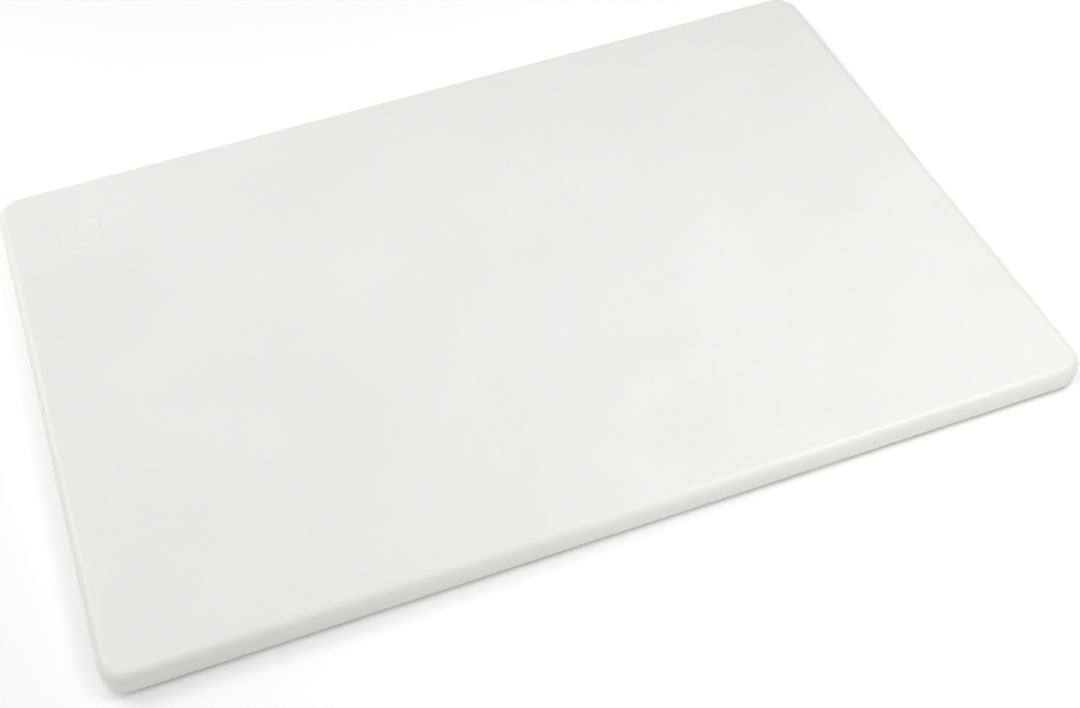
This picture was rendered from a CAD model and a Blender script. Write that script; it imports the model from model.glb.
import math

import bpy
import numpy as np
from mathutils import Matrix, Vector, noise


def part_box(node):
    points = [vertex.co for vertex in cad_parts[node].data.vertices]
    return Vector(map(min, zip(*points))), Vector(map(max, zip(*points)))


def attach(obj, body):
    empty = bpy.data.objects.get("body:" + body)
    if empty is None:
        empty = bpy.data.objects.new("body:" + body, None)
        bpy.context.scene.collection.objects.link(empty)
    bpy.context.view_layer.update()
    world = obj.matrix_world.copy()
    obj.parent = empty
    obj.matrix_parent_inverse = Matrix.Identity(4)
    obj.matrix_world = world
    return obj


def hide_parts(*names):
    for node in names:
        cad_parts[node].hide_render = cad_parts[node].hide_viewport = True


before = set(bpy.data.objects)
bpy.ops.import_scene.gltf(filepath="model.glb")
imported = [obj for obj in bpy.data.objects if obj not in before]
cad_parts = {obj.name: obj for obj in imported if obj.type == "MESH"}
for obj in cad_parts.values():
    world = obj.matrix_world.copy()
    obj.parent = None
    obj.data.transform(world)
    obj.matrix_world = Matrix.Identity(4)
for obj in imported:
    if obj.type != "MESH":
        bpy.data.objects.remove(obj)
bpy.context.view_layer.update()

LO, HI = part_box("board")
MM = 0.001

# ---------------------------------------------------------------- sizes, millimetres
LENGTH = (HI.x - LO.x) / MM
WIDTH = (HI.y - LO.y) / MM
THICK = (HI.z - LO.z) / MM
CX, CY = (HI.x + LO.x) / 2 / MM, (HI.y + LO.y) / 2 / MM
Z0 = LO.z / MM
R_PLAN = 13.0          # plan corner radius
R_EDGE = 5.0           # rounding of the upper edges
R_LOW = 5.0            # rounding of the lower edges
EMBLEM = (CX - LENGTH / 2 + 38.9, CY + WIDTH / 2 - 41.6)
EMBLEM_HALF, EMBLEM_RAD, STROKE = 11.5, 5.0, 1.2
DIAMOND_HALF = 6.0 / math.sqrt(2.0)
PIP_HALF = 1.6 / math.sqrt(2.0)
SUNK = 0.12


# ---------------------------------------------------------------- mesh helpers
class Mesh:
    """Vertices and faces collected in millimetres."""

    def __init__(self):
        self.co, self.faces = [], []

    def add(self, p):
        self.co.append(p)
        return len(self.co) - 1

    def quad(self, *ids):
        self.faces.append(tuple(ids))


def lerp(a, b, t):
    return a + (b - a) * t


def wave(x, y, z, size, seed):
    """Smooth seeded noise, about -1 to 1, over a distance of size millimetres."""
    return noise.noise(Vector((x / size + seed * 7.31, y / size - seed * 3.17, z / size + seed * 1.73)))


# The flat part of each face ends at this outline, where the rounded edge begins.
A = LENGTH / 2 - R_EDGE
B = WIDTH / 2 - R_EDGE
RC = R_PLAN - R_EDGE
PITCH = 3.0            # grid pitch on the faces
CORNER = 16.0          # side of the patch that carries each plan corner
CORNER_N = 8           # cells along that side


def axis_lines(half, hole=None):
    """Grid lines from -half to half, closer in the corner patches, with lines at both ends of a hole."""
    inner = half - CORNER
    stops = [-inner] + (list(hole) if hole else []) + [inner]
    out = [lerp(-half, -inner, k / CORNER_N) for k in range(CORNER_N)]
    for a, b in zip(stops[:-1], stops[1:]):
        n = max(1, round((b - a) / PITCH))
        if hole and (a, b) == tuple(hole):
            n = HOLE_N
        out += [lerp(a, b, k / n) for k in range(n)]
    out += [lerp(inner, half, k / CORNER_N) for k in range(CORNER_N + 1)]
    return out


HOLE = 16.0            # half side of the square patch that holds the emblem
HOLE_N = 10            # grid cells along that patch
EX, EY = EMBLEM[0] - CX, EMBLEM[1] - CY
XS = axis_lines(A, (EX - HOLE, EX + HOLE))
YS = axis_lines(B, (EY - HOLE, EY + HOLE))


def outline_corner(u, v):
    """A corner patch's point: u and v run from 0 at the inner sides to 1 at the outline.

    The two outer sides of the patch are bent on to the corner's arc, and the inside
    follows by blending the four sides.
    """
    def side(t):
        # from the start of the patch to the middle of the arc, evenly by length
        straight = CORNER - RC
        arc = RC * math.pi / 4
        d = t * (straight + arc)
        if d <= straight:
            return d, CORNER
        ang = (d - straight) / RC
        return straight + RC * math.sin(ang), straight + RC * math.cos(ang)

    east = side(v)[::-1]           # u = 1 edge, running with v
    north = side(u)                # v = 1 edge, running with u
    corner = side(1.0)
    x = ((1 - u) * 0.0 + u * east[0]) + ((1 - v) * u * CORNER + v * north[0]) - (
        (1 - u) * (1 - v) * 0.0 + u * (1 - v) * CORNER + (1 - u) * v * 0.0 + u * v * corner[0])
    y = ((1 - u) * v * CORNER + u * east[1]) + ((1 - v) * 0.0 + v * north[1]) - (
        (1 - u) * v * CORNER + u * v * corner[1])
    return x, y


def face_point(x, y):
    """Grid point to plan position, with the four corners bent round."""
    ax, ay = abs(x) - (A - CORNER), abs(y) - (B - CORNER)
    if ax > 0 and ay > 0:
        px, py = outline_corner(ax / CORNER, ay / CORNER)
        return (math.copysign(A - CORNER + px, x), math.copysign(B - CORNER + py, y))
    return x, y


def outward(px, py):
    """Outward plan direction of the outline at one of its points."""
    cx = math.copysign(max(abs(px) - (A - RC), 0.0), px)
    cy = math.copysign(max(abs(py) - (B - RC), 0.0), py)
    if abs(px) > A - 1e-6 and abs(cy) < 1e-9:
        return math.copysign(1.0, px), 0.0
    if abs(py) > B - 1e-6 and abs(cx) < 1e-9:
        return 0.0, math.copysign(1.0, py)
    d = math.hypot(cx, cy)
    return cx / d, cy / d


# ---------------------------------------------------------------- the slab
m = Mesh()
NX, NY = len(XS), len(YS)
rows_edge = 12


def in_hole(i, j):
    return (XS[i] > EX - HOLE - 1e-6 and XS[i + 1] < EX + HOLE + 1e-6
            and YS[j] > EY - HOLE - 1e-6 and YS[j + 1] < EY + HOLE + 1e-6)


def face_grid(z, up):
    ids = [[m.add((*face_point(x, y), z)) for y in YS] for x in XS]
    for i in range(NX - 1):
        for j in range(NY - 1):
            if up and in_hole(i, j):
                continue
            q = (ids[i][j], ids[i + 1][j], ids[i + 1][j + 1], ids[i][j + 1])
            m.quad(*(q if up else q[::-1]))
    return ids


def rim_ids(ids):
    """The face's outline, counter-clockwise seen from above."""
    loop = [ids[i][0] for i in range(NX)]
    loop += [ids[NX - 1][j] for j in range(1, NY)]
    loop += [ids[i][NY - 1] for i in range(NX - 2, -1, -1)]
    loop += [ids[0][j] for j in range(NY - 2, 0, -1)]
    return loop


top = face_grid(THICK, True)
bottom = face_grid(0.0, False)
rim_top, rim_bottom = rim_ids(top), rim_ids(bottom)
N_RIM = len(rim_top)

previous = rim_top
profile = []
for k in range(1, rows_edge + 1):                      # upper rounding
    a = math.pi / 2 * k / rows_edge
    profile.append((R_EDGE * math.sin(a), THICK - R_EDGE + R_EDGE * math.cos(a)))
for k in (1, 2):                                       # straight land
    profile.append((R_EDGE, lerp(THICK - R_EDGE, R_LOW, k / 3)))
for k in range(rows_edge, -1, -1):                     # lower rounding
    a = math.pi / 2 * k / rows_edge
    profile.append((R_EDGE - R_LOW + R_LOW * math.sin(a), R_LOW - R_LOW * math.cos(a)))
if R_EDGE - R_LOW < 0.01:
    profile.pop()                                      # the underside's outline is already there
for out, z in profile:
    ring = []
    for v in rim_top:
        px, py, _ = m.co[v]
        nx, ny = outward(px, py)
        ring.append(m.add((px + nx * out, py + ny * out, z)))
    for k in range(N_RIM):
        n = (k + 1) % N_RIM
        m.quad(previous[k], ring[k], ring[n], previous[n])
    previous = ring
for k in range(N_RIM):
    n = (k + 1) % N_RIM
    m.quad(previous[k], rim_bottom[k], rim_bottom[n], previous[n])

# ---------------------------------------------------------------- the sunk emblem
SPOKES = 4 * HOLE_N * 4                                # four spokes to each grid cell


def rounded_square(theta, half, rad, turn=0.0):
    """Distance from the middle to a rounded square's outline in direction theta."""
    t = (theta - turn) % (math.pi / 2)
    if t > math.pi / 4:
        t = math.pi / 2 - t
    rad = min(max(rad, 0.0), half)
    flat = half - rad
    if math.tan(t) * half <= flat + 1e-12:
        return half / math.cos(t)
    c, s_ = math.cos(t), math.sin(t)
    p = flat * (c + s_)
    return p + math.sqrt(max(p * p - 2 * flat * flat + rad * rad, 0.0))


def shoulder(t):
    """0 to 1, soft at both ends."""
    return t * t * (3 - 2 * t)


SOFT = 0.40                                            # width of a stroke's shoulder
# (outline function, soft shoulder going down or up, from the middle outwards)
loops = []


def plain(radius_of, depth):
    loops.append((radius_of, depth))


def step(half, rad, turn, down):
    """A shoulder across an outline: down goes from the level face into the stroke."""
    for k in range(5):
        t = k / 4
        off = lerp(-SOFT / 2, SOFT / 2, t)
        depth = SUNK * (shoulder(t) if down else 1 - shoulder(t))
        plain(lambda th, off=off: rounded_square(th, half + off, rad + off, turn), depth)


Q = math.pi / 4
plain(lambda th: rounded_square(th, PIP_HALF * 0.5, 0.35, Q), SUNK)
step(PIP_HALF, 0.40, Q, False)
d_in, d_out = DIAMOND_HALF - STROKE, DIAMOND_HALF
plain(lambda th: rounded_square(th, (PIP_HALF + d_in) / 2, 0.5, Q), 0.0)
step(d_in, 0.40, Q, True)
plain(lambda th: rounded_square(th, (d_in + d_out) / 2, 0.5, Q), SUNK)
step(d_out, 0.60, Q, False)
s_in, s_out = EMBLEM_HALF - STROKE, EMBLEM_HALF
for t in (0.2, 0.4, 0.6, 0.8):
    plain(lambda th, t=t: lerp(rounded_square(th, d_out + SOFT / 2, 0.6 + SOFT / 2, Q),
                               rounded_square(th, s_in - SOFT / 2, EMBLEM_RAD - STROKE - SOFT / 2), t), 0.0)
step(s_in, EMBLEM_RAD - STROKE, 0.0, True)
plain(lambda th: rounded_square(th, (s_in + s_out) / 2, EMBLEM_RAD - STROKE / 2), SUNK)
step(s_out, EMBLEM_RAD, 0.0, False)
plain(lambda th: lerp(rounded_square(th, s_out + SOFT / 2, EMBLEM_RAD), rounded_square(th, HOLE, 0.0), 0.45), 0.0)


def spoke_target(k):
    """Point of the square patch's side for spoke k, evenly spaced, from the lower right corner."""
    per = SPOKES // 4
    side, t = divmod(k, per)
    t = lerp(-HOLE, HOLE, t / per)
    return [(HOLE, t), (-t, HOLE), (-HOLE, -t), (t, -HOLE)][side]


thetas = [math.atan2(*spoke_target(k)[::-1]) for k in range(SPOKES)]
middle = m.add((EX, EY, THICK - SUNK))
previous = None
for radius_of, depth in loops:
    ring = []
    for th in thetas:
        r = radius_of(th)
        ring.append(m.add((EX + r * math.cos(th), EY + r * math.sin(th), THICK - depth)))
    for k in range(SPOKES):
        n = (k + 1) % SPOKES
        if previous is None:
            m.quad(middle, ring[k], ring[n])
        else:
            m.quad(previous[k], ring[k], ring[n], previous[n])
    previous = ring
# join the last ring to the grid: one five-spoke polygon for each grid edge
i0 = min(range(NX), key=lambda i: abs(XS[i] - (EX - HOLE)))
j0 = min(range(NY), key=lambda j: abs(YS[j] - (EY - HOLE)))
square = [top[i0 + HOLE_N][j0 + k] for k in range(HOLE_N)]
square += [top[i0 + HOLE_N - k][j0 + HOLE_N] for k in range(HOLE_N)]
square += [top[i0][j0 + HOLE_N - k] for k in range(HOLE_N)]
square += [top[i0 + k][j0] for k in range(HOLE_N)]
for e in range(len(square)):
    inner = [previous[(4 * e + k) % SPOKES] for k in range(5)]
    m.quad(*inner[::-1], square[e], square[(e + 1) % len(square)])

# ---------------------------------------------------------------- real unevenness
# A moulded slab isn't perfectly true: the faces have a slow swell of a few hundredths
# of a millimetre, and the rounded edges waver a little. All of it goes inwards.
co = []
edge_mask = []         # 0 on the flat faces, rising round the edge to 1 on the side wall
for x, y, z in m.co:
    # distance in from the outline, which is 13 mm round at the plan corners
    bx, by = max(-(A - RC), min(A - RC, x)), max(-(B - RC), min(B - RC, y))
    dx, dy = x - bx, y - by
    d = math.hypot(dx, dy)
    inset = R_PLAN - d if d > 1e-9 else min(LENGTH / 2 - abs(x), WIDTH / 2 - abs(y))
    t = max(0.0, min(1.0, (R_EDGE - inset) / 4.0))
    edge_mask.append(shoulder(t))
    swell = 0.5 + 0.5 * max(-1.0, min(1.0, 1.6 * wave(x, y, 0, 95.0, 1) + 0.5 * wave(x, y, 0, 38.0, 2)))
    waver = 0.5 + 0.5 * max(-1.0, min(1.0, 1.4 * wave(x, y, 0, 42.0, 3) + 0.5 * wave(x, y, 0, 17.0, 4)))
    mid = (z - THICK / 2) / (THICK / 2)                # -1 underneath to 1 on top
    fade = max(0.0, min(1.0, (inset - 1.0) / 8.0))     # the swell fades out at the edge
    z -= mid * 0.06 * swell * fade
    near = max(0.0, 1.0 - inset / R_EDGE)              # 1 at the outside, 0 where the face begins
    pull = 0.07 * waver * near
    if d > 1e-9:
        x -= dx / d * pull
        y -= dy / d * pull
    co.append(((x + CX) * MM, (y + CY) * MM, (z + Z0) * MM))

mesh = bpy.data.meshes.new("board_slab")
mesh.from_pydata(co, [], m.faces)
mesh.validate()
mesh.update()
mesh.polygons.foreach_set("use_smooth", [True] * len(mesh.polygons))
attr = mesh.attributes.new("edge", "FLOAT", "POINT")
attr.data.foreach_set("value", edge_mask)
slab = bpy.data.objects.new("board_slab", mesh)
bpy.context.scene.collection.objects.link(slab)
print("slab", len(mesh.vertices), "vertices", sum(len(p.vertices) - 2 for p in mesh.polygons), "triangles")


# ---------------------------------------------------------------- material
def node(tree, kind, **inputs):
    n = tree.nodes.new(kind)
    for key, value in inputs.items():
        setattr(n, key, value)
    return n


WALL_TINT = (0.990, 0.985, 0.960, 1)


def hdpe():
    mat = bpy.data.materials.new("hdpe_white")
    mat.use_nodes = True
    t = mat.node_tree
    t.nodes.clear()
    out = node(t, "ShaderNodeOutputMaterial")
    bsdf = node(t, "ShaderNodeBsdfPrincipled")
    t.links.new(bsdf.outputs["BSDF"], out.inputs["Surface"])
    bsdf.subsurface_method = "RANDOM_WALK"
    bsdf.inputs["Subsurface Weight"].default_value = 1.0
    bsdf.inputs["Subsurface Radius"].default_value = (1.0, 0.92, 0.72)
    bsdf.inputs["Subsurface Scale"].default_value = 0.002
    bsdf.inputs["IOR"].default_value = 1.5
    coord = node(t, "ShaderNodeTexCoord")

    def tex(kind, scale, **kw):
        n = node(t, kind)
        if "Scale" in n.inputs:
            n.inputs["Scale"].default_value = scale
        for k, v in kw.items():
            n.inputs[k].default_value = v
        t.links.new(coord.outputs["Object"], n.inputs["Vector"])
        return n

    # colour: milky off-white with a very faint cloudiness
    cloud = tex("ShaderNodeTexNoise", 14.0, Detail=3.0, Roughness=0.5)
    ramp = node(t, "ShaderNodeValToRGB")
    ramp.color_ramp.elements[0].position = 0.30
    ramp.color_ramp.elements[0].color = (0.765, 0.765, 0.742, 1)
    ramp.color_ramp.elements[1].position = 0.70
    ramp.color_ramp.elements[1].color = (0.785, 0.785, 0.765, 1)
    t.links.new(cloud.outputs["Fac"], ramp.inputs["Fac"])
    # the side wall is a little creamier than the faces
    edge = node(t, "ShaderNodeAttribute", attribute_name="edge", attribute_type="GEOMETRY")
    wall = node(t, "ShaderNodeMix", data_type="RGBA", blend_type="MULTIPLY")
    wall.inputs[7].default_value = WALL_TINT
    t.links.new(edge.outputs["Fac"], wall.inputs[0])
    t.links.new(ramp.outputs["Color"], wall.inputs[6])
    t.links.new(wall.outputs[2], bsdf.inputs["Base Color"])

    # gloss: satin, a little uneven
    blot = tex("ShaderNodeTexNoise", 60.0, Detail=4.0, Roughness=0.6)
    rough = node(t, "ShaderNodeMapRange")
    rough.inputs["From Min"].default_value = 0.25
    rough.inputs["From Max"].default_value = 0.75
    rough.inputs["To Min"].default_value = 0.33
    rough.inputs["To Max"].default_value = 0.45
    t.links.new(blot.outputs["Fac"], rough.inputs["Value"])
    t.links.new(rough.outputs["Result"], bsdf.inputs["Roughness"])

    # stipple: fine moulded bumps, under a millimetre across, with a softer orange peel under them
    fine = tex("ShaderNodeTexVoronoi", 1150.0, Randomness=1.0)
    fine.feature = "SMOOTH_F1"
    fine.inputs["Smoothness"].default_value = 1.0
    peel = tex("ShaderNodeTexNoise", 420.0, Detail=3.0, Roughness=0.55)
    b1 = node(t, "ShaderNodeBump")
    b1.inputs["Distance"].default_value = 0.00012
    b2 = node(t, "ShaderNodeBump")
    b2.inputs["Distance"].default_value = 0.00018
    b1.inputs["Strength"].default_value = 0.35
    b2.inputs["Strength"].default_value = 0.42
    t.links.new(fine.outputs["Distance"], b1.inputs["Height"])
    t.links.new(peel.outputs["Fac"], b2.inputs["Height"])
    t.links.new(b1.outputs["Normal"], b2.inputs["Normal"])
    t.links.new(b2.outputs["Normal"], bsdf.inputs["Normal"])
    return mat


slab.data.materials.append(hdpe())
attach(slab, "root")
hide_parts("board")

# ---------------------------------------------------------------- floor
floor_mesh = bpy.data.meshes.new("floor")
R = 6.0
floor_mesh.from_pydata([(-R, -R, 0), (R, -R, 0), (R, R, 0), (-R, R, 0)], [], [(0, 1, 2, 3)])
floor = bpy.data.objects.new("floor", floor_mesh)
bpy.context.scene.collection.objects.link(floor)
floor.location.z = LO.z - 0.00005    # just clear of the underside
fm = bpy.data.materials.new("floor")
fm.use_nodes = True
fb = fm.node_tree.nodes["Principled BSDF"]
fb.inputs["Base Color"].default_value = (0.97, 0.97, 0.97, 1)
fb.inputs["Roughness"].default_value = 0.9
fb.inputs["Specular IOR Level"].default_value = 0.2
floor_mesh.materials.append(fm)

# ---------------------------------------------------------------- light
world = bpy.data.worlds.new("studio")
bpy.context.scene.world = world
world.use_nodes = True
wt = world.node_tree
bg = wt.nodes["Background"]
# a pale horizon all round, and a dimmer sky above it that leaves the modelling to the lights
HORIZON, SKY = 0.55, 0.08
w_coord = wt.nodes.new("ShaderNodeTexCoord")
w_split = wt.nodes.new("ShaderNodeSeparateXYZ")
w_range = wt.nodes.new("ShaderNodeMapRange")
w_range.interpolation_type = "SMOOTHSTEP"
w_range.inputs["From Min"].default_value = 0.06
w_range.inputs["From Max"].default_value = 0.28
w_range.inputs["To Min"].default_value = HORIZON
w_range.inputs["To Max"].default_value = SKY
wt.links.new(w_coord.outputs["Generated"], w_split.inputs["Vector"])
wt.links.new(w_split.outputs["Z"], w_range.inputs["Value"])
wt.links.new(w_range.outputs["Result"], bg.inputs["Strength"])
bg.inputs["Color"].default_value = (1, 1, 1, 1)


def direction(az, el):
    """Unit vector towards a light: az from +Y towards +X, el above the floor, in degrees."""
    a, e = math.radians(az), math.radians(el)
    return Vector((math.sin(a) * math.cos(e), math.cos(a) * math.cos(e), math.sin(e)))


def place(name, light, d, where=(0, 0, 0)):
    obj = bpy.data.objects.new(name, light)
    obj.location = where
    obj.rotation_euler = d.to_track_quat("Z", "Y").to_euler()
    obj.visible_camera = False
    bpy.context.scene.collection.objects.link(obj)


# broad softboxes far from the board: azimuth, elevation, angular size, strength
FAR_LIGHTS = (
    (155, 35, 16, 0.278), (315, 35, 16, 0.288), (0, 24, 30, 0.314),
    (265, 24, 30, 0.357), (0, 52, 32, 0.184), (235, 52, 32, 0.297),
    (270, 52, 32, 0.175), (315, 52, 32, 0.309), (180, 76, 36, 0.269),
)
for k, (az, el, angle, strength) in enumerate(FAR_LIGHTS):
    light = bpy.data.lights.new("far_softbox_%d" % k, "SUN")
    light.angle = math.radians(angle)
    light.energy = strength
    place(light.name, light, direction(az, el))

# round softboxes near the board: x, y, z and diameter in metres, and watts
NEAR_LIGHTS = (
    (0.35, -0.2, 0.6, 0.3, 1.516), (-0.35, 0.25, 0.6, 0.3, 0.688), (0.05, 0.0, 0.6, 0.3, 0.366),
    (0.6, 0.0, 0.25, 0.22, 0.21), (-0.5, 0.35, 0.25, 0.22, 0.27), (0.1, -0.5, 0.25, 0.22, 0.27),
)
for k, (x, y, z, size, watts) in enumerate(NEAR_LIGHTS):
    light = bpy.data.lights.new("near_softbox_%d" % k, "AREA")
    light.shape = "DISK"
    light.size = size
    light.energy = watts
    place(light.name, light, Vector((x - 0.3 * x, y - 0.3 * y, z)), (x, y, z))

# ---------------------------------------------------------------- camera
cam = bpy.data.cameras.new("camera")
cam.sensor_fit = "HORIZONTAL"
cam.sensor_width = 36.0
cam.lens = 52.85065655748578
cam.shift_x = 0.04902930246859514
cam.shift_y = 0.0
cam.clip_start = 0.01
cam.clip_end = 50.0
camera = bpy.data.objects.new("camera", cam)
rows = ((0.9410388327873693, 0.2819864508511195, -0.18689450693526222),
        (-0.33511885992137846, 0.7014569984606676, -0.6290098799188663),
        (-0.04627380372501454, 0.6545545973002865, 0.7545972530044611))
pose = Matrix(rows).to_4x4()
pose.translation = Vector((-0.163496448, -0.509556890, 0.572754923))
camera.matrix_world = pose
bpy.context.scene.collection.objects.link(camera)
bpy.context.scene.camera = camera

bpy.context.scene.view_settings.view_transform = "Standard"
bpy.context.scene.view_settings.look = "None"
